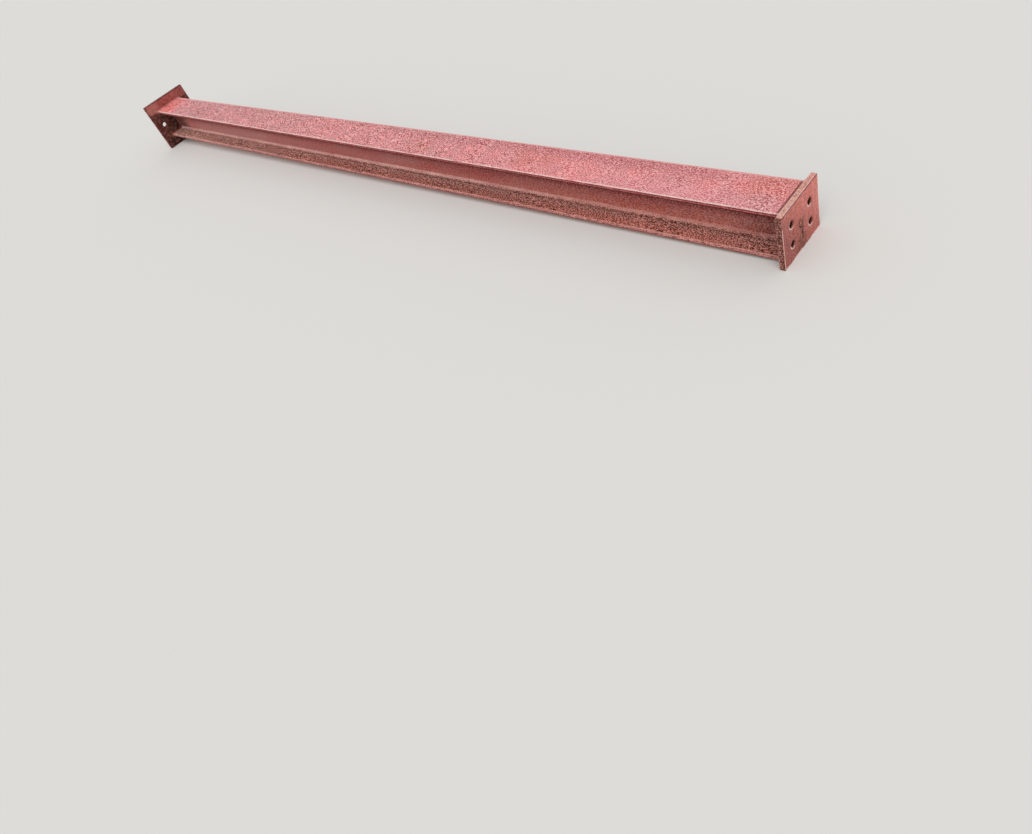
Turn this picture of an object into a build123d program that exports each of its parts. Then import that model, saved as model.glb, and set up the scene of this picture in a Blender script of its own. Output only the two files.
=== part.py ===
from build123d import *
import os

# A steel column member: a rolled wide-flange section with a plate welded square to each end.
# Millimetres. It lies with its web upright: +X runs along the section towards the cap plate,
# +Z is up, and the origin is under the middle, level with the lowest edge.

# Rolled section
section_length = 4360.0
section_depth = 180.0
flange_width = 180.0
flange_thickness = 14.0
web_thickness = 8.5
root_radius = 15.0
toe_radius = 1.5

# Base plate, with one anchor hole on each side of the web
base_width = 300.0
base_height = 300.0
base_thickness = 20.0
base_hole_diameter = 28.0
base_hole_spacing = 190.0

# Cap plate, with a rectangle of four bolt holes
cap_width = 240.0
cap_height = 200.0
cap_thickness = 20.0
cap_hole_diameter = 26.0
cap_hole_spacing_across = 120.0
cap_hole_spacing_upright = 75.0

# Broken edges of the cut plates and of the drilled holes
plate_edge_break = 1.0
hole_edge_break = 0.6

# Fillet weld all round the section: its leg, and the blunt toe where it runs out on the steel
weld_leg = 7.0
weld_toe = 0.6

# Places along and above the floor
overall_length = base_thickness + section_length + cap_thickness
base_seat_x = base_thickness - overall_length / 2
cap_seat_x = base_seat_x + section_length
centre_height = max(base_height, cap_height, section_depth) / 2


def cross_plane(x):
    """The plane square to the member at x, centred on the section."""
    return Plane(origin=(x, 0, centre_height), x_dir=(0, 1, 0), z_dir=(1, 0, 0))


def section_profile(growth=0.0):
    """The rolled outline, or the same outline moved outwards all round by growth."""
    web_face = web_thickness / 2 + growth
    flange_tip = flange_width / 2 + growth
    pocket_width = flange_tip - web_face
    pocket_height = section_depth - 2 * (flange_thickness + growth)
    outline = Rectangle(2 * flange_tip, section_depth + 2 * growth)
    for side in (-1, 1):
        middle = side * (web_face + pocket_width / 2)
        outline -= Pos(middle, 0) * Rectangle(pocket_width, pocket_height)
    halfway = (web_face + flange_tip) / 2
    roots = outline.vertices().filter_by(lambda v: abs(v.X) < halfway)
    outline = fillet(roots, root_radius - growth)
    toes = outline.vertices().filter_by(lambda v: abs(v.X) > halfway)
    return fillet(toes, toe_radius + growth)


def rolled_section():
    return extrude(cross_plane(base_seat_x) * section_profile(), section_length)


def drilled_plate(seat_x, outward, width, height, thickness, hole_diameter, hole_places):
    """A cut plate whose inner face lies at seat_x, drilled square through at hole_places."""
    middle = cross_plane(seat_x + outward * thickness / 2)
    plate = middle * Box(width, height, thickness)
    plate = chamfer(plate.edges(), plate_edge_break)
    for place in hole_places:
        plate -= middle * Pos(*place) * Cylinder(hole_diameter / 2, thickness)
    rims = plate.edges().filter_by(GeomType.CIRCLE)
    return chamfer(rims, hole_edge_break)


def base_plate():
    places = [(side * base_hole_spacing / 2, 0) for side in (-1, 1)]
    return drilled_plate(
        base_seat_x, -1, base_width, base_height, base_thickness, base_hole_diameter, places
    )


def cap_plate():
    across = cap_hole_spacing_across / 2
    upright = cap_hole_spacing_upright / 2
    places = [(y * across, z * upright) for y in (-1, 1) for z in (-1, 1)]
    return drilled_plate(
        cap_seat_x, 1, cap_width, cap_height, cap_thickness, cap_hole_diameter, places
    )


def fillet_weld(seat_x, inward, section):
    """The bead that runs round the section: its full leg on the plate, its toe on the steel."""
    foot = cross_plane(seat_x) * section_profile(weld_leg)
    toe = cross_plane(seat_x + inward * weld_leg) * section_profile(weld_toe)
    return loft([foot, toe], ruled=True) - section


section = rolled_section()
pieces = {
    "i_section": section,
    "base_plate": base_plate(),
    "cap_plate": cap_plate(),
    "base_weld": fillet_weld(base_seat_x, 1, section),
    "cap_weld": fillet_weld(cap_seat_x, -1, section),
}

os.makedirs("parts", exist_ok=True)
for name, piece in pieces.items():
    piece.label = name
    export_step(piece, f"parts/{name}.step")
    print(name, "volume", round(piece.volume), "valid", piece.is_valid)
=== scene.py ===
import math

import bmesh
import bpy
from mathutils import Matrix, Vector, noise


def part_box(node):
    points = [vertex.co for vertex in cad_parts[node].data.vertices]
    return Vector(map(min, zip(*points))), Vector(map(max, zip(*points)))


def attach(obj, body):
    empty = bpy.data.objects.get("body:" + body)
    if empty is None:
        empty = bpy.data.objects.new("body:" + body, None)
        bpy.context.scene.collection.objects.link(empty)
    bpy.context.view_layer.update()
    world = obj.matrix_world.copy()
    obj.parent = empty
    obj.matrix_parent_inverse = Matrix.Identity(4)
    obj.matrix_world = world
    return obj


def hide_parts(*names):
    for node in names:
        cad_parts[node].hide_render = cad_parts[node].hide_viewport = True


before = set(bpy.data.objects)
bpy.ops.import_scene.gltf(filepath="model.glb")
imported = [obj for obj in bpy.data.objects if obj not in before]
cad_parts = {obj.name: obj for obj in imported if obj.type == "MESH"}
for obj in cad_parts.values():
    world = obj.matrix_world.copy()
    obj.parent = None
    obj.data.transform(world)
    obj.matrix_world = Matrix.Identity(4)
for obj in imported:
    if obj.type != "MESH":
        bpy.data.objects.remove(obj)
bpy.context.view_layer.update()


# The rolled section: one hot-rolled wide-flange length, brushed with red-oxide primer and left
# out in the weather. Rain and sun have chalked its upper face to a speckled pink, the web has
# stayed a cleaner red, and grit has settled on the ledge of the lower flange.

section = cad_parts["i_section"]
section_low, section_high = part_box("i_section")
top_height = section_high.z
middle_height = (section_low.z + section_high.z) / 2
half_depth = (section_high.z - section_low.z) / 2
flange_half = section_high.y
flange_thickness = 0.014
ledge_height = section_low.z + flange_thickness
web_half = 0.0085 / 2
root_radius = 0.015
toe_radius = 0.0015
primer_gloss = 0.14


class Coat:
    """A finish made of shader nodes that read the steel's own place, in metres."""

    def __init__(self, name):
        self.material = bpy.data.materials.new(name)
        self.material.use_nodes = True
        self.tree = self.material.node_tree
        self.shader = self.tree.nodes["Principled BSDF"]
        self.shader.inputs["Specular IOR Level"].default_value = primer_gloss
        self.place = self.add("ShaderNodeTexCoord").outputs["Object"]
        self.x, self.y, self.z = self.add("ShaderNodeSeparateXYZ", self.place).outputs
        faces = self.add("ShaderNodeNewGeometry").outputs["Normal"]
        self.faces_x, self.faces_y, self.faces_z = self.add("ShaderNodeSeparateXYZ", faces).outputs

    def add(self, kind, *values, **settings):
        node = self.tree.nodes.new(kind)
        for name, value in settings.items():
            setattr(node, name, value)
        for socket, value in zip(node.inputs, values):
            self.feed(socket, value)
        return node

    def feed(self, socket, value):
        if isinstance(value, bpy.types.NodeSocket):
            self.tree.links.new(value, socket)
        else:
            socket.default_value = value

    def math(self, operation, a, b=0.0, c=0.0):
        return self.add("ShaderNodeMath", a, b, c, operation=operation).outputs[0]

    def size_of(self, value):
        """A value without its sign."""
        return self.math("ABSOLUTE", value)

    def apart(self, value, place):
        """How far a value is from a place, on either side of it."""
        return self.size_of(self.math("SUBTRACT", value, place))

    def rise(self, value, start, end):
        """0 before start, 1 after end, smooth between. A start above the end falls instead."""
        node = self.add("ShaderNodeMapRange", value, start, end, interpolation_type="SMOOTHSTEP")
        return node.outputs[0]

    def stretch(self, start, full, fading, end):
        """1 along the steel from full to fading, and 0 before start and past end."""
        return self.both(self.rise(self.x, start, full), self.rise(self.x, end, fading))

    def both(self, *masks):
        """Masks and shares multiplied, so that it is full only where all of them are."""
        product = masks[0]
        for mask in masks[1:]:
            product = self.math("MULTIPLY", product, mask)
        return product

    def either(self, *masks):
        """The fullest of some masks at each place."""
        most = masks[0]
        for mask in masks[1:]:
            most = self.math("MAXIMUM", most, mask)
        return most

    def other(self, mask):
        """A mask turned about: full where it was empty."""
        return self.math("SUBTRACT", 1.0, mask)

    def graded(self, mask, at_none, at_full):
        """A number that goes from the first to the second as a mask goes from 0 to 1."""
        return self.math("MULTIPLY_ADD", mask, at_full - at_none, at_none)

    def raised(self, number, mask, amount):
        """The number, with this amount more where the mask is full."""
        return self.math("MULTIPLY_ADD", mask, amount, number)

    def blend(self, first, second, share):
        """Two clouds or grains added up: this share of the first, and the rest of the second."""
        rest = self.math("MULTIPLY", second, 1.0 - share)
        return self.math("ADD", self.math("MULTIPLY", first, share), rest)

    def cloud(self, size, detail=2.0, harshness=0.5, shift=0.0, bend=0.0):
        """Cloudy noise from 0 to 1 whose patches have this size in metres, one or per axis."""
        sizes = size if isinstance(size, tuple) else (size, size, size)
        mapping = self.add("ShaderNodeMapping", self.place)
        mapping.inputs["Location"].default_value = (shift, shift * 0.7, shift * 0.4)
        mapping.inputs["Scale"].default_value = [1.0 / s for s in sizes]
        return self.noise_at(mapping.outputs[0], detail, harshness, bend)

    def noise_at(self, place, detail, harshness, bend=0.0):
        noise_node = self.add("ShaderNodeTexNoise", place)
        noise_node.inputs["Scale"].default_value = 1.0
        noise_node.inputs["Detail"].default_value = detail
        noise_node.inputs["Roughness"].default_value = harshness
        noise_node.inputs["Distortion"].default_value = bend
        return noise_node.outputs["Fac"]

    def patches(self, size, start, end, **how):
        """Cloudy noise sharpened into patches: 0 where it is under start, 1 where over end."""
        return self.rise(self.cloud(size, **how), start, end)

    def grain(self, coarsest):
        """Speckle of every size from the coarsest down, from 0 to 1 with strong contrast."""
        return self.patches(coarsest, 0.36, 0.64, detail=2.0, harshness=0.7)

    def speckle(self, colour, grain, amount, pale, dark):
        """The colour with pale dust where a grain is high and dark pits where it is low."""
        dust = self.both(self.rise(grain, 0.55, 0.95), amount)
        pits = self.both(self.rise(grain, 0.45, 0.05), amount)
        return self.mix(pits, self.mix(dust, colour, pale), dark)

    def around(self, centre, reach, wobble=0.4, shift=0.0):
        """1 at a place and 0 past its reach, with a ragged border."""
        distance = self.add("ShaderNodeVectorMath", self.place, centre, operation="DISTANCE")
        border = self.cloud(reach * 0.35, detail=3.0, harshness=0.6, shift=shift)
        border = self.graded(border, -wobble * reach, wobble * reach)
        return self.rise(self.math("ADD", distance.outputs["Value"], border), reach, reach * 0.45)

    def mix(self, share, under, over):
        """One colour over another, by this share from 0 to 1."""
        node = self.tree.nodes.new("ShaderNodeMix")
        node.data_type = "RGBA"
        self.feed(node.inputs[0], share)
        self.feed(node.inputs[6], under)
        self.feed(node.inputs[7], over)
        return node.outputs[2]

    def vary(self, colour, cloud, amount):
        """The colour made lighter and darker by a cloud, by about this share."""
        centred = self.graded(cloud, -1.0, 1.0)
        factor = self.math("MULTIPLY_ADD", centred, amount, 1.0)
        if isinstance(colour, tuple):
            colour = colour[:3]
        node = self.add("ShaderNodeVectorMath", colour, operation="SCALE")
        self.feed(node.inputs["Scale"], factor)
        return node.outputs[0]

    def finish(self, colour, roughness, height, depth):
        """Joins up the colour, the roughness, and a height in units of depth, in metres."""
        self.feed(self.shader.inputs["Base Color"], colour)
        self.feed(self.shader.inputs["Roughness"], roughness)
        bump = self.add("ShaderNodeBump")
        bump.inputs["Strength"].default_value = 1.0
        bump.inputs["Distance"].default_value = depth
        self.feed(bump.inputs["Height"], height)
        self.feed(self.shader.inputs["Normal"], bump.outputs[0])
        return self.material


def paint(red, green, blue):
    """A colour given as it looks, in steps from 0 to 255."""
    steps = [v / 255 for v in (red, green, blue)]
    return tuple(v / 12.92 if v <= 0.04045 else ((v + 0.055) / 1.055) ** 2.4 for v in steps) + (1.0,)


def dress(node, material):
    """Puts a finish on one of the part's own solids."""
    node.data.materials.clear()
    node.data.materials.append(material)


def lengthwise_grain(coat, shift):
    """Fine speckle drawn out along the steel, a little finer at the cap end."""
    growth = 0.09
    size_along, size_across = 0.0070, 0.0040
    closer = coat.math("EXPONENT", coat.math("MULTIPLY", coat.x, growth))
    along = coat.math("MULTIPLY_ADD", closer, 1 / (growth * size_along), shift)
    across = coat.math("DIVIDE", closer, size_across)
    crossways = coat.both(coat.y, across)
    upright = coat.both(coat.z, across)
    place = coat.add("ShaderNodeCombineXYZ", along, crossways, upright).outputs[0]
    return coat.rise(coat.noise_at(place, detail=2.5, harshness=0.65), 0.42, 0.58)


def up_the_web(coat, start, end):
    """0 to 1 between two heights over the top of the lower flange."""
    return coat.rise(coat.z, ledge_height + start, ledge_height + end)


def near_cap(coat, start, end):
    """0 to 1 between two distances from the cap plate's seat."""
    return coat.rise(coat.x, section_high.x - start, section_high.x - end)


def near_base(coat, start, end):
    """0 to 1 between two distances from the base plate's seat."""
    return coat.rise(coat.x, section_low.x + start, section_low.x + end)


coat = Coat("weathered_section_primer")

away_from_web = coat.size_of(coat.y)
upwards = coat.rise(coat.faces_z, 0.72, 0.96)
upper_half = coat.rise(coat.z, middle_height - 0.01, middle_height + 0.01)
lower_half = coat.other(upper_half)
top_face = coat.both(upwards, upper_half)
ledge = coat.both(upwards, lower_half)
towards_cap = coat.rise(coat.x, 0.4, 1.6)
towards_base = coat.rise(coat.x, -0.6, -1.8)

# Fresh primer, brushed over both ends after the plates were welded on, and thin at the cap
fresh_red = paint(236, 101, 89)
from_end = coat.math("SUBTRACT", section_high.x, coat.size_of(coat.x))
brushed_out = coat.graded(coat.cloud((0.05, 0.03, 0.03), detail=3.0, shift=6.0), -0.15, 0.15)
fresh = coat.rise(coat.math("ADD", from_end, brushed_out), 0.25, 0.05)
fresh = coat.both(fresh, coat.graded(towards_base, 0.12, 0.87))

# Web, undersides and everything else that rain seldom scours, with painted shade darkening the web under the
# upper flange
web_red = paint(202, 100, 95)
web_faded = paint(210, 141, 136)
faded = coat.raised(coat.patches((0.6, 0.6, 0.2), 0.4, 0.62), towards_base, 0.5)
web_tone = coat.mix(coat.math("MINIMUM", faded, 1.0), web_red, web_faded)

web_deep = paint(180, 62, 58)
deeper = coat.both(coat.stretch(-0.1, 0.8, 1.8, 2.1), 0.45)
web_tone = coat.mix(deeper, web_tone, web_deep)

# Painted shade on the upper web, under the upper flange
web_upper_shade = paint(162, 70, 68)
upper_web_shade = coat.both(up_the_web(coat, 0.030, 0.086), coat.graded(towards_cap, 0.65, 0.95))
web_tone = coat.mix(upper_web_shade, web_tone, web_upper_shade)

web_shadow = paint(124, 35, 36)
shadow_share = coat.graded(coat.rise(coat.x, -0.6, 0.4), 0.40, 0.75)
under_flange = coat.both(up_the_web(coat, 0.060, 0.084), shadow_share)
web_tone = coat.mix(under_flange, web_tone, web_shadow)

web_grey = paint(212, 146, 144)
greyer = coat.both(coat.stretch(-1.7, -1.1, -0.7, 0.0), up_the_web(coat, 0.076, 0.046), 0.5)
web_tone = coat.mix(greyer, web_tone, web_grey)

foot_pink = paint(232, 138, 126)
web_foot = coat.both(up_the_web(coat, 0.038, 0.016), coat.rise(coat.x, -0.4, 0.4), 0.45)
web_tone = coat.mix(web_foot, web_tone, foot_pink)
web_tone = coat.mix(coat.both(fresh, 0.2), web_tone, fresh_red)

# Painted shade on the web close to each plate
web_cap_end_shade = paint(114, 46, 40)
web_base_end_shade = paint(90, 46, 40)
web_tone = coat.mix(coat.both(near_cap(coat, 0.26, 0.08), 0.75), web_tone, web_cap_end_shade)
web_tone = coat.mix(coat.both(near_base(coat, 0.20, 0.05), 0.95), web_tone, web_base_end_shade)

upright_streaks = coat.cloud((0.008, 0.4, 0.11), detail=3.0, harshness=0.65)
web_tone = coat.vary(web_tone, upright_streaks, 0.36)

rust_brown = paint(206, 98, 60)
rust_streaks = coat.patches((0.009, 0.4, 0.045), 0.46, 0.62, detail=3.0, harshness=0.65, shift=11.0)
rust_streaks = coat.both(rust_streaks, towards_cap, near_cap(coat, 0.04, 0.18), 0.75)
rust_streaks = coat.both(rust_streaks, up_the_web(coat, 0.076, 0.026))
web_tone = coat.mix(rust_streaks, web_tone, rust_brown)

web_dust = paint(232, 180, 170)
web_pits = paint(84, 38, 36)
web_share = coat.graded(towards_base, 0.40, 0.32)
web_tone = coat.speckle(web_tone, lengthwise_grain(coat, shift=2.0), web_share, web_dust, web_pits)

# Chalked upper face, greyer and coarser towards the base plate
rose = paint(252, 142, 145)
dust_grey = paint(228, 152, 154)
chalk = coat.patches(0.12, 0.42, 0.60, detail=4.0, harshness=0.6, bend=0.4)
chalk = coat.both(chalk, coat.graded(towards_base, 0.45, 0.85))
top_tone = coat.mix(chalk, rose, dust_grey)
mottle = coat.patches((0.16, 0.06, 0.06), 0.30, 0.70, detail=4.0, harshness=0.65, shift=15.0)
top_tone = coat.vary(top_tone, mottle, 0.13)

mauve_red = paint(200, 114, 122)
mauve = coat.patches((0.22, 0.07, 0.05), 0.46, 0.66, detail=4.0, harshness=0.6, shift=21.0, bend=0.8)
mauve = coat.both(mauve, coat.graded(towards_cap, 0.45, 0.20))
top_tone = coat.mix(mauve, top_tone, mauve_red)
# Painted light and shade across the upper face: lighter on the near half, darker towards the far edge
painted_light_near_half = coat.rise(coat.y, flange_half - 0.005, 0.0)
top_tone = coat.vary(top_tone, painted_light_near_half, 0.08)

washed_pink = paint(255, 142, 143)
washed = coat.around((-0.20, -0.06, top_height), 0.45, shift=8.0)
top_tone = coat.mix(coat.both(washed, 0.45), top_tone, washed_pink)

warm_red = paint(236, 122, 108)
warm = coat.either(
    coat.around((1.12, 0.05, top_height), 0.16, shift=3.0),
    coat.around((section_high.x - 0.08, 0.04, top_height), 0.13, shift=4.0),
    coat.around((0.45, -0.02, top_height), 0.10, shift=5.0),
)
top_tone = coat.mix(coat.both(warm, 0.6), top_tone, warm_red)

fresh_on_top = paint(234, 108, 98)
fresh_share = coat.graded(coat.rise(coat.y, 0.0, 0.05), 0.82, 0.67)
top_tone = coat.mix(coat.both(fresh, fresh_share), top_tone, fresh_on_top)

grime_grey = paint(172, 128, 116)
grime = coat.around((section_high.x - 0.08, -0.045, top_height), 0.066, wobble=0.6, shift=6.0)
top_tone = coat.mix(coat.both(grime, 0.3), top_tone, grime_grey)

run_grey = paint(184, 138, 142)
run_share = coat.graded(coat.rise(coat.x, -1.25, -1.4), 0.28, 0.48)
grey_run = coat.both(coat.stretch(-2.06, -1.94, -0.7, -0.3), run_share)
top_tone = coat.mix(grey_run, top_tone, run_grey)

far_pink = paint(228, 162, 166)
far_back = coat.both(coat.rise(coat.x, -1.1, -1.5), coat.rise(coat.y, 0.0, 0.05), 0.25)
top_tone = coat.mix(far_back, top_tone, far_pink)

blooms = coat.patches((0.038, 0.014, 0.014), 0.36, 0.64, detail=3.0, harshness=0.65, shift=27.0)
bloom_share = coat.both(coat.rise(coat.x, 1.7, 0.6), coat.graded(towards_base, 0.27, 0.34))
top_tone = coat.vary(top_tone, blooms, bloom_share)
specks = coat.patches((0.020, 0.010, 0.010), 0.38, 0.62, detail=2.0, harshness=0.6, shift=37.0)
specks_share = coat.both(coat.rise(coat.x, 1.2, 0.2), 0.16)
top_tone = coat.vary(top_tone, specks, specks_share)

shaded_rose = paint(206, 102, 110)
back_shade = coat.both(coat.rise(coat.y, 0.01, 0.06), coat.stretch(-0.2, 0.4, 1.75, 2.05), 0.7)
top_tone = coat.mix(back_shade, top_tone, shaded_rose)
near_pink = paint(255, 168, 178)
pinker = coat.both(coat.rise(coat.x, 1.35, 1.65), coat.rise(coat.y, 0.02, -0.05), 0.5)
top_tone = coat.mix(pinker, top_tone, near_pink)

top_dust = paint(255, 206, 204)
top_pits = paint(124, 46, 50)
grain = lengthwise_grain(coat, shift=30.0)
pitting = coat.graded(coat.stretch(-2.16, -1.9, 0.2, 1.4), 0.66, 0.88)
pitting = coat.raised(pitting, towards_base, -0.34)
pitting = coat.raised(pitting, grime, 0.12)
top_tone = coat.speckle(top_tone, grain, pitting, top_dust, top_pits)

# Painted shade: a dark line across the upper face just short of the cap plate
weld_toe_shade_brown = paint(104, 50, 48)
weld_toe_shade_line = coat.rise(coat.apart(coat.x, section_high.x - 0.010), 0.0055, 0.0025)
top_tone = coat.mix(coat.both(weld_toe_shade_line, 0.75), top_tone, weld_toe_shade_brown)

# Grit on the ledge of the lower flange: grey-brown by the root, rusty towards the toe
ledge_brown = paint(188, 116, 108)
ledge_moss = paint(190, 155, 141)
by_root = coat.rise(away_from_web, 0.064, 0.026)
by_toe = coat.rise(away_from_web, 0.03, 0.07)
mossy = coat.either(coat.patches((0.16, 0.05, 0.05), 0.42, 0.58, detail=3.0, shift=5.0), towards_base)
mossy = coat.both(mossy, coat.either(by_root, coat.both(towards_base, 0.7)), 0.8)
ledge_tone = coat.mix(mossy, ledge_brown, ledge_moss)

ledge_rust = paint(208, 104, 84)
rusty = coat.patches((0.30, 0.06, 0.06), 0.44, 0.60, detail=4.0, harshness=0.65, shift=7.0)
rusty = coat.both(rusty, by_toe, coat.graded(towards_cap, 0.25, 0.90))
ledge_tone = coat.mix(rusty, ledge_tone, ledge_rust)

ledge_dull = paint(116, 34, 29)
dull = coat.both(coat.stretch(-2.0, -1.6, 1.2, 1.8), by_toe, 0.85)
ledge_tone = coat.mix(dull, ledge_tone, ledge_dull)

ledge_orange = paint(212, 100, 84)
rustier = coat.both(coat.rise(coat.x, 0.9, 1.5), 0.45)
ledge_tone = coat.mix(rustier, ledge_tone, ledge_orange)

ledge_damp = paint(118, 46, 40)
damp = coat.both(coat.stretch(-0.1, 0.3, 0.7, 1.1), 0.3)
ledge_tone = coat.mix(damp, ledge_tone, ledge_damp)

ledge_cap_end = paint(146, 76, 68)
ledge_base_end = paint(142, 98, 84)
by_cap = near_cap(coat, 0.28, 0.08)
by_base = near_base(coat, 0.09, 0.03)
ledge_tone = coat.mix(coat.both(by_cap, 0.5), ledge_tone, ledge_cap_end)
ledge_tone = coat.mix(coat.both(by_base, 0.6), ledge_tone, ledge_base_end)

silt = coat.patches((0.036, 0.013, 0.013), 0.36, 0.64, detail=3.0, harshness=0.65, shift=33.0)
silt_share = coat.graded(coat.rise(coat.x, 1.6, 0.4), 0.14, 0.34)
ledge_tone = coat.vary(ledge_tone, silt, silt_share)
ledge_tone = coat.vary(ledge_tone, specks, specks_share)

sandy_grit = paint(250, 191, 176)
rusty_grit = paint(248, 166, 150)
ledge_pits = paint(44, 26, 23)
grit = lengthwise_grain(coat, shift=60.0)
redder = coat.both(by_toe, coat.rise(coat.x, -1.1, -0.3), 0.8)
pale_grit = coat.mix(redder, sandy_grit, rusty_grit)
ledge_tone = coat.speckle(ledge_tone, grit, 0.95, pale_grit, ledge_pits)

crumb_brown = paint(66, 50, 44)
crumbs = coat.patches(0.0050, 0.50, 0.62, detail=2.0, harshness=0.7, shift=12.0)
crumb_share = coat.either(coat.both(by_cap, 0.25), coat.both(towards_cap, by_root, 0.2), 0.03)
ledge_tone = coat.mix(coat.both(crumbs, crumb_share), ledge_tone, crumb_brown)

dirt_brown = paint(60, 42, 38)
dirt_reach = coat.graded(coat.cloud((0.03, 0.02, 0.02), detail=3.0, shift=9.0), 0.017, 0.031)
dirt_edge = coat.rise(coat.apart(away_from_web, dirt_reach), 0.004, 0.001)
dirt_edge = coat.both(dirt_edge, coat.rise(coat.x, -1.4, -0.6), 0.4)
ledge_tone = coat.mix(dirt_edge, ledge_tone, dirt_brown)

tone = coat.mix(top_face, web_tone, top_tone)
tone = coat.mix(ledge, tone, ledge_tone)

# Dust caught in the lower root radius, with a painted highlight where the radius turns up to the light
root_pale_dust_and_highlight = paint(250, 198, 190)
root_rosy_dust_and_highlight = paint(240, 172, 160)
root_dust = paint(255, 214, 204)
root_pits = paint(120, 66, 60)
curving_up = coat.both(coat.rise(coat.faces_z, 0.15, 0.5), coat.rise(coat.faces_z, 0.98, 0.88))
root_dust_and_highlight = coat.both(curving_up, coat.rise(away_from_web, 0.05, 0.03), lower_half)
root_patches = coat.patches((0.09, 0.02, 0.02), 0.3, 0.6, detail=4.0, shift=17.0)
root_dust_and_highlight = coat.both(root_dust_and_highlight, coat.graded(root_patches, 0.50, 0.95))
root_dust_and_highlight = coat.both(root_dust_and_highlight, coat.graded(coat.rise(coat.x, 1.5, 2.0), 1.0, 0.6))
root_tone = coat.mix(towards_cap, root_pale_dust_and_highlight, root_rosy_dust_and_highlight)
root_tone = coat.vary(root_tone, coat.cloud(0.02, detail=3.0), 0.3)
root_tone = coat.speckle(root_tone, grit, 0.35, root_dust, root_pits)
tone = coat.mix(root_dust_and_highlight, tone, root_tone)

# Rubbed arrises with a painted highlight along both flanges, wider towards the base plate, and
# broken, but for the upper flange's far one
lower_arris_wear_and_highlight = paint(244, 184, 172)
upper_arris_wear_and_highlight = paint(255, 222, 218)
back_arris_wear_and_highlight = paint(242, 178, 174)
arris_reach = coat.raised(coat.graded(upper_half, 0.005, 0.008), towards_base, 0.003)
from_toe = coat.math("SUBTRACT", flange_half, away_from_web)
arris_wear_and_highlight = coat.both(coat.rise(coat.math("DIVIDE", from_toe, arris_reach), 1.3, 0.7), upwards)
arris_pieces = coat.patches((0.10, 0.02, 0.02), 0.30, 0.50, detail=3.0, shift=2.0)
back_of_top = coat.both(coat.rise(coat.y, -0.01, 0.01), upper_half)
arris_wear_and_highlight = coat.both(arris_wear_and_highlight, coat.either(arris_pieces, back_of_top), coat.graded(grain, 0.6, 0.9))
arris_wear_and_highlight_tone = coat.mix(upper_half, lower_arris_wear_and_highlight, upper_arris_wear_and_highlight)
arris_wear_and_highlight_tone = coat.mix(back_of_top, arris_wear_and_highlight_tone, back_arris_wear_and_highlight)
tone = coat.mix(arris_wear_and_highlight, tone, arris_wear_and_highlight_tone)

# The flanges' edges: speckled, with painted shade as a dark crease under the top arris and a dark foot
upper_toe_red = paint(190, 84, 82)
lower_toe_red = paint(194, 116, 106)
lower_toe_grey = paint(204, 140, 130)
toe_dust = paint(244, 176, 168)
toe_pits = paint(84, 32, 32)
toe_face = coat.rise(coat.size_of(coat.faces_y), 0.35, 0.65)
toe_face = coat.both(toe_face, coat.rise(away_from_web, flange_half - 0.003, flange_half - 0.001))
toe_tone = coat.mix(towards_base, lower_toe_red, lower_toe_grey)
toe_tone = coat.mix(upper_half, toe_tone, upper_toe_red)
toe_tone = coat.vary(toe_tone, coat.cloud((0.05, 0.01, 0.006), detail=3.0, harshness=0.65), 0.4)
toe_tone = coat.speckle(toe_tone, grit, coat.graded(upper_half, 0.75, 0.40), toe_dust, toe_pits)

# Painted shade: a dark crease under the upper arris
crease_shade_red = paint(104, 36, 38)
from_middle = coat.apart(coat.z, middle_height)
painted_crease_shade = coat.rise(coat.apart(from_middle, half_depth - 0.0016), 0.0034, 0.0018)
crease_shade_pieces = coat.patches((0.035, 0.01, 0.01), 0.30, 0.44, detail=3.0, shift=19.0)
painted_crease_shade = coat.both(painted_crease_shade, upper_half, crease_shade_pieces, 0.85)
toe_tone = coat.mix(painted_crease_shade, toe_tone, crease_shade_red)

# Painted shade along the foot of each flange's edge
foot_shade_dark = paint(66, 24, 24)
flange_inside = half_depth - flange_thickness
upper_foot_shade = coat.rise(from_middle, flange_inside + 0.0070, flange_inside + 0.0040)
lower_foot_shade = coat.rise(from_middle, half_depth - 0.0060, half_depth - 0.0035)
foot_shade = coat.mix(upper_half, lower_foot_shade, upper_foot_shade)
foot_shade = coat.both(foot_shade, coat.graded(upper_half, 0.5, 0.9))
toe_tone = coat.mix(foot_shade, toe_tone, foot_shade_dark)
tone = coat.mix(toe_face, tone, toe_tone)

section_relief = 0.0009
roughness = coat.graded(grit, 0.65, 0.95)
height = coat.blend(grain, grit, 0.5)
dress(section, coat.finish(tone, roughness, height, section_relief))


# The base plate: a square of flame-cut plate welded across the far end of the section, with an
# anchor hole on each side of the web. Its inner face was primed by brush, and its outer face has
# lost most of its primer to rust.

base_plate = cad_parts["base_plate"]
base_low, base_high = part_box("base_plate")

coat = Coat("rusting_base_primer")
inner_face = coat.rise(coat.faces_x, 0.6, 0.9)
outer_face = coat.rise(coat.faces_x, -0.6, -0.9)
away_from_web = coat.size_of(coat.y)
brush = coat.cloud((0.02, 0.006, 0.07), detail=3.0, harshness=0.6)
cross_brush = coat.cloud((0.02, 0.06, 0.007), detail=3.0, harshness=0.6, shift=4.0)

# Its inner face: lighter where it stands above the section, darker below it with painted shade and dirt, and
# with painted shade and mould beside the web
shaded_red = paint(95, 48, 42)
lit_red = paint(158, 82, 78)
above_flange = coat.rise(coat.z, top_height - 0.012, top_height + 0.008)
below_flange = coat.other(above_flange)
inner_tone = coat.mix(above_flange, shaded_red, lit_red)

# Painted shade in the corner beside the web
web_corner_shade = paint(80, 44, 42)
by_web_shade = coat.both(coat.rise(away_from_web, 0.085, 0.03), below_flange, 0.75)
inner_tone = coat.mix(by_web_shade, inner_tone, web_corner_shade)

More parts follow.
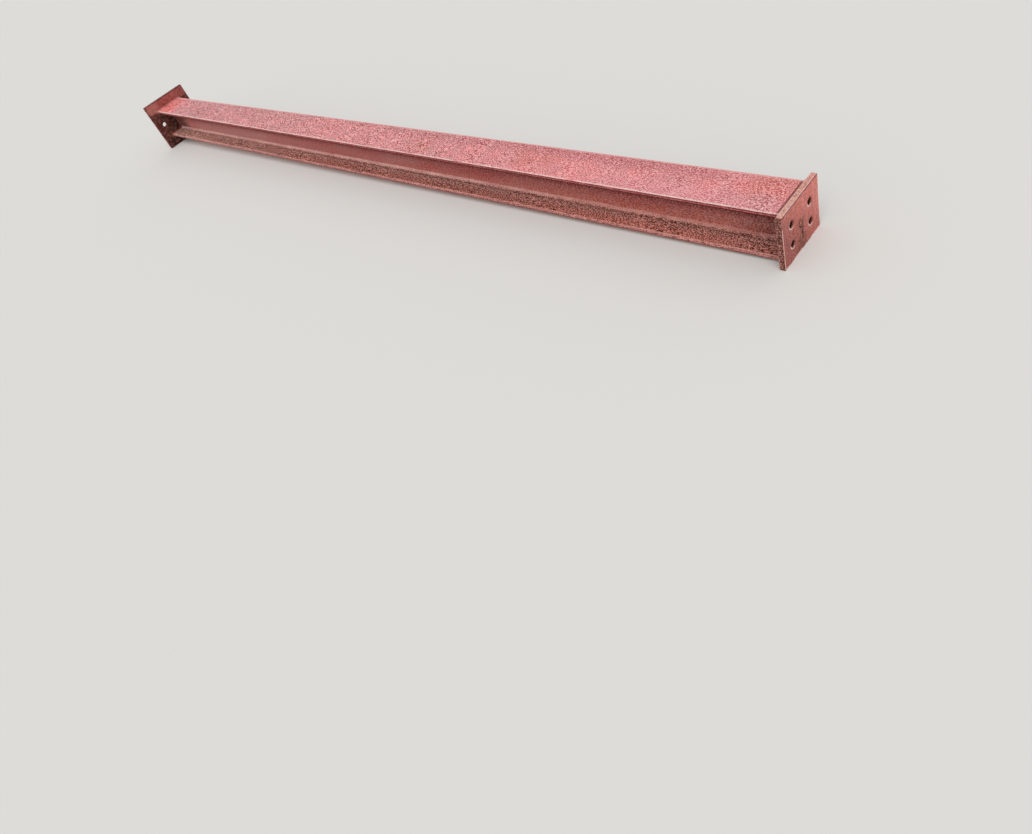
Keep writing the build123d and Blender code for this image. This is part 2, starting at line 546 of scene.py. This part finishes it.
mould_green = paint(70, 60, 46)
mould = coat.patches(0.028, 0.44, 0.56, detail=3.0)
mould = coat.both(mould, coat.rise(away_from_web, 0.14, 0.07), below_flange, 0.7)
inner_tone = coat.mix(mould, inner_tone, mould_green)

rubbed_pink = paint(190, 122, 112)
rubbed_end = coat.both(coat.rise(coat.y, -0.050, -0.085), above_flange, 0.6)
inner_tone = coat.mix(rubbed_end, inner_tone, rubbed_pink)

low_shade = paint(66, 34, 31)
low_down = coat.rise(coat.z, base_low.z + 0.075, base_low.z + 0.040)
inner_tone = coat.mix(coat.both(low_down, 0.9), inner_tone, low_shade)

border_dark = paint(70, 32, 30)
from_side = coat.math("SUBTRACT", base_high.y, away_from_web)
from_top = coat.math("SUBTRACT", base_high.z, coat.z)
border = coat.rise(coat.math("MINIMUM", from_side, from_top), 0.007, 0.003)
inner_tone = coat.mix(coat.both(border, 0.7), inner_tone, border_dark)
inner_tone = coat.vary(inner_tone, brush, 0.6)
inner_tone = coat.vary(inner_tone, cross_brush, 0.6)

# Its outer face: rust, with islands of old primer
bare_rust = paint(166, 92, 58)
dark_rust = paint(96, 58, 44)
old_red = paint(176, 98, 90)
scale = coat.patches(0.035, 0.4, 0.6, detail=4.0, harshness=0.65)
outer_tone = coat.mix(scale, bare_rust, dark_rust)
primer_left = coat.patches(0.11, 0.42, 0.52, detail=5.0, harshness=0.6, shift=3.0)
outer_tone = coat.mix(primer_left, outer_tone, coat.vary(old_red, brush, 0.3))

edge_red = paint(128, 72, 66)
edge_tone = coat.vary(edge_red, coat.cloud((0.03, 0.02, 0.02), detail=4.0, harshness=0.6), 0.5)
tone = coat.mix(inner_face, edge_tone, inner_tone)
tone = coat.mix(outer_face, tone, outer_tone)

base_dust = paint(214, 150, 138)
base_pits = paint(60, 34, 30)
base_relief = 0.0010
base_roughness = 0.82
grain = coat.grain(0.014)
tone = coat.speckle(tone, grain, coat.graded(inner_face, 0.30, 0.18), base_dust, base_pits)
height = coat.blend(brush, grain, 0.5)
dress(base_plate, coat.finish(tone, base_roughness, height, base_relief))


# The cap plate: a smaller plate welded across the near end, drilled for four bolts. Its face
# was primed with the section, and water running down the middle has drawn rust streaks on it.

cap_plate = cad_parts["cap_plate"]
cap_low, cap_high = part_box("cap_plate")
cap_hole_across = 0.120 / 2
cap_hole_upright = 0.075 / 2
cap_hole_radius = 0.013

coat = Coat("streaked_cap_primer")
outer_face = coat.rise(coat.faces_x, 0.6, 0.9)
inner_face = coat.rise(coat.faces_x, -0.6, -0.9)
top_edge = coat.rise(coat.faces_z, 0.6, 0.9)
level = coat.math("SUBTRACT", coat.z, middle_height)
runs = coat.cloud((0.05, 0.007, 0.10), detail=3.0, harshness=0.6)

# Its face: paler towards the upper far corner
pale_red = paint(226, 136, 128)
deep_red = paint(160, 90, 86)
paler_across = 3.4
paler_upwards = 4.5
paler_start = -0.22
paler = coat.math("MULTIPLY_ADD", coat.z, paler_upwards, paler_start)
paler = coat.math("ADD", coat.math("MULTIPLY", coat.y, paler_across), paler)
paler = coat.math("ADD", paler, coat.graded(coat.cloud(0.06, detail=3.0), -0.25, 0.25))
face_tone = coat.mix(coat.rise(paler, 0.0, 1.0), deep_red, pale_red)
face_tone = coat.vary(face_tone, runs, 0.50)

wash_orange = paint(212, 108, 90)
orange_wash = coat.patches((0.05, 0.045, 0.08), 0.44, 0.60, detail=3.0, shift=5.5)
orange_share = coat.graded(coat.rise(coat.y, -0.08, 0.02), 0.08, 0.33)
face_tone = coat.mix(coat.both(orange_wash, orange_share), face_tone, wash_orange)
wash_grey = paint(142, 100, 92)
grey_wash = coat.patches((0.05, 0.010, 0.07), 0.52, 0.64, detail=3.0, harshness=0.6, shift=9.5)
face_tone = coat.mix(coat.both(grey_wash, 0.4), face_tone, wash_grey)
mottling = coat.cloud((0.05, 0.014, 0.012), detail=4.0, harshness=0.7, shift=16.0)
face_tone = coat.vary(face_tone, mottling, 0.58)

# Water runs down the middle from just above mid-height, and leaves rust and pale streaks
rust_trail = paint(184, 98, 80)
rust_wet = paint(42, 20, 19)
washed_pale = paint(248, 180, 152)
wander = coat.graded(coat.cloud((0.03, 0.03, 0.04), shift=2.0), -0.009, 0.015)
from_run = coat.size_of(coat.math("ADD", coat.y, wander))
widening = coat.rise(coat.z, middle_height - 0.03, middle_height - 0.09)
run_half = coat.graded(widening, 0.015, 0.041)
below_start = coat.rise(coat.z, middle_height + 0.028, middle_height + 0.010)
run_core = coat.rise(coat.math("SUBTRACT", from_run, run_half), 0.006, -0.006)
run_core = coat.both(run_core, below_start)
face_tone = coat.mix(coat.both(run_core, 0.5), face_tone, rust_trail)

streaks = coat.cloud((0.05, 0.0062, 0.060), detail=3.0, harshness=0.6, shift=14.0, bend=0.5)
broken = coat.patches(0.016, 0.36, 0.60, detail=3.0, harshness=0.6, shift=23.0)
off_the_foot = coat.rise(coat.z, middle_height - 0.07, middle_height - 0.05)
streak_share = coat.both(run_core, coat.graded(off_the_foot, 0.50, 0.95))
streak_share = coat.both(streak_share, coat.graded(broken, 0.5, 1.1))
wet_streaks = coat.both(coat.rise(streaks, 0.59, 0.51), streak_share)
pale_streaks = coat.both(coat.rise(streaks, 0.60, 0.66), streak_share)
face_tone = coat.mix(wet_streaks, face_tone, rust_wet)
face_tone = coat.mix(pale_streaks, face_tone, washed_pale)

# Painted highlight on the holes' rims, below and on the near side, and painted shade round the rest of them
rim_highlight = paint(255, 228, 218)
rim_shade = paint(104, 56, 54)
hole_y = coat.math("MULTIPLY_ADD", coat.math("SIGN", coat.y), -cap_hole_across, coat.y)
hole_z = coat.math("MULTIPLY_ADD", coat.math("SIGN", level), -cap_hole_upright, level)
from_hole = coat.math("SQRT", coat.math("ADD", coat.both(hole_y, hole_y), coat.both(hole_z, hole_z)))
rim = coat.rise(from_hole, cap_hole_radius + 0.0065, cap_hole_radius + 0.0015)
lit_side_up = 0.90
lit_side_across = 0.45
rim_lit_side = coat.raised(coat.math("MULTIPLY", hole_z, lit_side_up), hole_y, lit_side_across)
rim_lit_side = coat.rise(rim_lit_side, -0.003, -0.010)
face_tone = coat.mix(coat.both(rim, rim_lit_side), face_tone, rim_highlight)
face_tone = coat.mix(coat.both(rim, coat.other(rim_lit_side), 0.5), face_tone, rim_shade)

# Its top edge: pale, with a painted highlight along both arrises, and dark at the near corner
top_near = paint(228, 172, 160)
top_far = paint(222, 160, 148)
top_arris_highlight = paint(255, 216, 204)
corner_dark = paint(124, 46, 38)
top_tone = coat.mix(coat.rise(coat.y, -0.08, 0.06), top_near, top_far)
from_plate_middle = coat.apart(coat.x, (cap_low.x + cap_high.x) / 2)
arris_highlight_lines = coat.rise(from_plate_middle, 0.0055, 0.0085)
top_tone = coat.mix(coat.both(arris_highlight_lines, 0.7), top_tone, top_arris_highlight)
near_corner = coat.rise(coat.y, 0.0085 - cap_high.y, 0.0035 - cap_high.y)
top_tone = coat.mix(coat.both(near_corner, 0.95), top_tone, corner_dark)

# Its other edges: dark and marked across by the cut
cut_red = paint(118, 54, 46)
cut_brown = paint(86, 52, 42)
inner_arris = paint(214, 156, 146)
outer_arris = paint(70, 34, 32)
cut_marks = coat.cloud((0.004, 0.006, 0.05), detail=3.0, harshness=0.7)
mill_patches = coat.patches((0.006, 0.01, 0.04), 0.42, 0.6, detail=3.0, harshness=0.7)
side_tone = coat.mix(mill_patches, cut_red, cut_brown)
side_tone = coat.vary(side_tone, cut_marks, 0.5)
inner_line = coat.rise(coat.x, cap_low.x + 0.0035, cap_low.x + 0.0010)
side_tone = coat.mix(coat.both(inner_line, 0.6), side_tone, inner_arris)
outer_line = coat.rise(coat.x, cap_high.x - 0.0050, cap_high.x - 0.0025)
side_tone = coat.mix(coat.both(outer_line, 0.4), side_tone, outer_arris)

inner_red = paint(150, 86, 80)
tone = coat.mix(inner_face, side_tone, coat.vary(inner_red, runs, 0.4))
tone = coat.mix(top_edge, tone, top_tone)
tone = coat.mix(outer_face, tone, face_tone)

cap_dust = paint(244, 180, 166)
cap_pits = paint(62, 30, 26)
grain = coat.grain(0.0045)
tone = coat.speckle(tone, grain, coat.graded(outer_face, 0.46, 0.30), cap_dust, cap_pits)

# The holes' walls, in painted shade that deepens inside them, and the arrises round the face, worn and with
# painted highlight and shade
# Painted shade deepening into each hole, lighter at its mouth
hole_shade = paint(24, 14, 14)
hole_mouth = paint(160, 92, 84)
wall = coat.rise(from_hole, cap_hole_radius + 0.0010, cap_hole_radius + 0.0002)
wall = coat.both(wall, coat.other(outer_face), coat.other(inner_face))
by_mouth = coat.rise(coat.x, cap_high.x - 0.007, cap_high.x - 0.001)
tone = coat.mix(wall, tone, coat.mix(by_mouth, hole_shade, hole_mouth))

# Worn paint with a painted highlight along the face's arrises
worn_pale_highlight = paint(250, 200, 190)
from_rim_y = coat.math("SUBTRACT", cap_high.y, coat.size_of(coat.y))
from_rim_z = coat.math("SUBTRACT", cap_high.z - middle_height, coat.size_of(level))
wear_and_highlight = coat.rise(coat.math("MINIMUM", from_rim_y, from_rim_z), 0.0056, 0.0026)
wear_and_highlight = coat.both(wear_and_highlight, outer_face, coat.patches(0.03, 0.34, 0.5, detail=3.0, shift=8.0), 0.9)
tone = coat.mix(wear_and_highlight, tone, worn_pale_highlight)
# Painted shade: a dark crease along the top of the face, under its arris
cap_crease_shade = paint(96, 42, 38)
painted_crease_shade = coat.rise(coat.math("SUBTRACT", cap_high.z, coat.z), 0.0062, 0.0030)
tone = coat.mix(coat.both(painted_crease_shade, outer_face, 0.9), tone, cap_crease_shade)

cap_relief = 0.0008
cap_roughness = 0.78
height = coat.blend(runs, grain, 0.4)
dress(cap_plate, coat.finish(tone, cap_roughness, height, cap_relief))


# The welds: one bead of fillet weld all round the section at each plate, laid by hand in short
# runs, so it is slightly crowned and rippled. It was primed with the rest, and rust starts in
# its hollows first.

weld_leg = 0.0066
weld_crown = 0.0008
ripple_height = 0.00025
ripple_pitch = 0.0032
ripple_lag = 0.35
swell_share = 0.12
swells_per_metre = 45
run_stops = 9
first_stop = 0.4
stop_swell = 0.10
stop_sharpness = 14
bead_step = 0.0008
bead_rings = 9
bead_root = 0.0004
root_segments = 26
toe_segments = 14


def outline_ring(bead, x):
    """The section's outline at x: a closed chain of vertices in order, roots and toes rounded."""
    under = half_depth - flange_thickness
    corners = [(flange_half, half_depth), (flange_half, under), (web_half, under)]
    corners = corners + [(y, -z) for y, z in reversed(corners)]
    corners = corners + [(-y, z) for y, z in reversed(corners)]
    face = bead.faces.new([bead.verts.new((x, y, middle_height + z)) for y, z in corners])
    roots = [v for v in face.verts if abs(v.co.y) < root_radius]
    toes = [v for v in face.verts if abs(v.co.y) > root_radius]
    for rounded, radius, segments in (
        (roots, root_radius, root_segments),
        (toes, toe_radius, toe_segments),
    ):
        bmesh.ops.bevel(
            bead, geom=rounded, offset=radius, segments=segments, profile=0.5, affect="VERTICES", material=-1
        )
    bmesh.ops.delete(bead, geom=bead.faces[:], context="FACES_ONLY")
    for edge in [e for e in bead.edges if e.calc_length() > 2 * bead_step]:
        bmesh.ops.subdivide_edges(bead, edges=[edge], cuts=round(edge.calc_length() / bead_step) - 1)
    ring = [bead.verts[:][0]]
    while True:
        ahead = [e.other_vert(ring[-1]) for e in ring[-1].link_edges]
        ahead = [v for v in ahead if len(ring) == 1 or v is not ring[-2]][0]
        if ahead is ring[0]:
            return ring
        ring.append(ahead)


def rippled_bead(name, seat_x, inward):
    """A closed loop of weld that stands on the plate at seat_x and wraps the section."""
    bead = bmesh.new()
    ring = outline_ring(bead, seat_x)
    count = len(ring)
    feet = [v.co.copy() for v in ring]
    outward = []
    lengths = [0.0]
    for i in range(count):
        way = feet[(i + 1) % count] - feet[i - 1]
        outward.append(Vector((0, way.z, -way.y)).normalized())
    centre = Vector((seat_x, 0, middle_height))
    if sum(n.dot(foot_shade - centre) for n, foot_shade in zip(outward, feet)) < 0:
        outward = [-n for n in outward]
    middles = [foot_shade + n * weld_leg / 2 for foot_shade, n in zip(feet, outward)]
    for i in range(count):
        lengths.append(lengths[-1] + (middles[(i + 1) % count] - middles[i]).length)
    pitch = lengths[-1] / round(lengths[-1] / ripple_pitch)

    def settle(vertices, turn):
        """Places a ring at this share of the way from the section's side to the plate's side."""
        for i, vertex in enumerate(vertices):
            swell = 1.0 + swell_share * noise.noise(feet[i] * swells_per_metre)
            stop = (lengths[i] / lengths[-1] * run_stops + first_stop) % 1.0
            swell += stop_swell * math.exp(-((stop - 0.5) * stop_sharpness) ** 2)
            phase = 2 * math.pi * (lengths[i] / pitch + ripple_lag * (2 * turn - 1) ** 2)
            proud = (weld_crown + ripple_height * math.cos(phase)) * math.sin(math.pi * turn)
            across = weld_leg * turn * swell + proud - bead_root * (1 - turn)
            along = weld_leg * (1 - turn) * swell + proud - bead_root * turn
            vertex.co = feet[i] + outward[i] * across + Vector((inward * along, 0, 0))

    def edges_of(vertices):
        """The edges between these vertices, each once."""
        inside = set(vertices)
        return list({e for v in vertices for e in v.link_edges if e.other_vert(v) in inside})

    def next_ring(vertices):
        """A new ring, joined to this one by faces, with its vertices in the same order."""
        grown = bmesh.ops.extrude_edge_only(bead, edges=edges_of(vertices))["geom"]
        added = {g for g in grown if isinstance(g, bmesh.types.BMVert)}
        return [next(e.other_vert(v) for e in v.link_edges if e.other_vert(v) in added) for v in vertices]

    settle(ring, 0.0)
    first = ring
    for step in range(1, bead_rings + 1):
        ring = next_ring(ring)
        settle(ring, step / bead_rings)
    hidden = next_ring(ring)
    for i, vertex in enumerate(hidden):
        vertex.co = feet[i] - outward[i] * bead_root - Vector((inward * bead_root, 0, 0))
    bmesh.ops.bridge_loops(bead, edges=edges_of(hidden) + edges_of(first))
    bmesh.ops.recalc_face_normals(bead, faces=bead.faces[:])
    for face in bead.faces:
        face.smooth = True
    data = bpy.data.meshes.new(name)
    bead.to_mesh(data)
    bead.free()
    piece = bpy.data.objects.new(name, data)
    bpy.context.scene.collection.objects.link(piece)
    return piece


weld_red = paint(196, 114, 106)
weld_brown = paint(176, 108, 98)
weld_lit = paint(216, 146, 140)
weld_shaded = paint(132, 70, 64)
weld_rust = paint(120, 66, 52)
weld_relief = 0.0002
weld_roughness = 0.75

coat = Coat("primed_weld_bead")
weld_tone = coat.mix(coat.patches(0.05, 0.4, 0.6, detail=3.0), weld_red, weld_brown)
high = coat.rise(coat.z, middle_height, top_height)
weld_tone = coat.mix(coat.both(high, 0.5), weld_tone, weld_lit)
low_at_base = coat.both(coat.rise(coat.x, 0.0, -1.0), coat.other(high), 0.8)
weld_tone = coat.mix(low_at_base, weld_tone, weld_shaded)
rusting = coat.patches(0.008, 0.5, 0.62, detail=3.0, harshness=0.7)
weld_tone = coat.mix(rusting, weld_tone, weld_rust)
weld_tone = coat.vary(weld_tone, coat.grain(0.004), 0.2)
weld_pores = coat.cloud(0.0015, detail=3.0)
weld_coat = coat.finish(weld_tone, weld_roughness, weld_pores, weld_relief)

for name, seat_x, inward in (
    ("base_weld", section_low.x, 1),
    ("cap_weld", section_high.x, -1),
):
    bead = rippled_bead(f"{name}_bead", seat_x, inward)
    bead.data.materials.append(weld_coat)
    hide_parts(name)
    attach(bead, "root")


# The studio: a pale floor that the lower edges of both plates stand on, so it climbs a little
# towards the cap plate, which is the shallower of the two.

floor_slope = math.atan2(cap_low.z - base_low.z, cap_high.x - base_high.x)
floor_drop = 0.0004
floor_size = 60.0
floor_colour = paint(228, 227, 224)
floor_roughness = 0.9
floor_gloss = 0.1

floor_mesh = bmesh.new()
bmesh.ops.create_grid(floor_mesh, x_segments=1, y_segments=1, size=floor_size / 2)
bmesh.ops.rotate(floor_mesh, verts=floor_mesh.verts, matrix=Matrix.Rotation(-floor_slope, 3, "Y"))
floor_foot = Vector((base_high.x, 0, base_low.z - floor_drop))
bmesh.ops.translate(floor_mesh, verts=floor_mesh.verts, vec=floor_foot)
floor_data = bpy.data.meshes.new("studio_floor")
floor_mesh.to_mesh(floor_data)
floor_mesh.free()
floor = bpy.data.objects.new("studio_floor", floor_data)
bpy.context.scene.collection.objects.link(floor)
floor_paper = bpy.data.materials.new("pale_paper")
floor_paper.use_nodes = True
paper_shader = floor_paper.node_tree.nodes["Principled BSDF"]
paper_shader.inputs["Base Color"].default_value = floor_colour
paper_shader.inputs["Roughness"].default_value = floor_roughness
paper_shader.inputs["Specular IOR Level"].default_value = floor_gloss
floor_data.materials.append(floor_paper)

# The room lights the steel evenly, and past the floor's end it shows as the same pale paper
room_white = (1.0, 0.99, 0.98, 1.0)
room_strength = 0.6
backdrop_strength = 0.95
world = bpy.data.worlds.new("soft_room")
world.use_nodes = True
room_tree = world.node_tree
room_light = room_tree.nodes["Background"]
room_light.inputs["Color"].default_value = room_white
room_light.inputs["Strength"].default_value = room_strength
backdrop = room_tree.nodes.new("ShaderNodeBackground")
backdrop.inputs["Color"].default_value = floor_colour
backdrop.inputs["Strength"].default_value = backdrop_strength
ray = room_tree.nodes.new("ShaderNodeLightPath")
chooser = room_tree.nodes.new("ShaderNodeMixShader")
seen = ray.outputs["Is Camera Ray"]
for kind in ("Is Glossy Ray", "Is Transmission Ray"):
    either_ray = room_tree.nodes.new("ShaderNodeMath")
    either_ray.operation = "MAXIMUM"
    room_tree.links.new(seen, either_ray.inputs[0])
    room_tree.links.new(ray.outputs[kind], either_ray.inputs[1])
    seen = either_ray.outputs[0]
room_tree.links.new(seen, chooser.inputs[0])
room_tree.links.new(room_light.outputs[0], chooser.inputs[1])
room_tree.links.new(backdrop.outputs[0], chooser.inputs[2])
room_tree.links.new(chooser.outputs[0], room_tree.nodes["World Output"].inputs["Surface"])
bpy.context.scene.world = world

# One broad lamp high on the near side stands for the open sky: soft-edged, and even everywhere
sky_direction = Vector((0.45, -0.55, 1.0))
sky_strength = 1.3
sky_width = math.radians(50)
sky = bpy.data.lights.new("broad_sky", "SUN")
sky.energy = sky_strength
sky.angle = sky_width
sky_holder = bpy.data.objects.new("broad_sky", sky)
sky_holder.rotation_euler = sky_direction.to_track_quat("Z", "Y").to_euler()
bpy.context.scene.collection.objects.link(sky_holder)

# The camera stands where the picture was taken from, tilted as the picture is
camera_place = Vector((3.143, -1.7795, 1.6871))
camera_aim = Vector((1.6975, -0.8455, 0.1612))
camera_roll = math.radians(-24.806)
camera_lens = 26.255
camera_film = 36.0
camera_rise = -0.0552
nearest_seen = 0.05
farthest_seen = 200.0

camera_data = bpy.data.cameras.new("yard_view")
camera_data.lens = camera_lens
camera_data.sensor_width = camera_film
camera_data.shift_y = camera_rise
camera_data.clip_start = nearest_seen
camera_data.clip_end = farthest_seen
camera = bpy.data.objects.new("yard_view", camera_data)
camera_turn = (camera_aim - camera_place).to_track_quat("-Z", "Y").to_matrix()
camera_turn = camera_turn @ Matrix.Rotation(camera_roll, 3, "Z")
camera.matrix_world = Matrix.Translation(camera_place) @ camera_turn.to_4x4()
bpy.context.scene.collection.objects.link(camera)
bpy.context.scene.camera = camera
bpy.context.scene.view_settings.view_transform = "Standard"
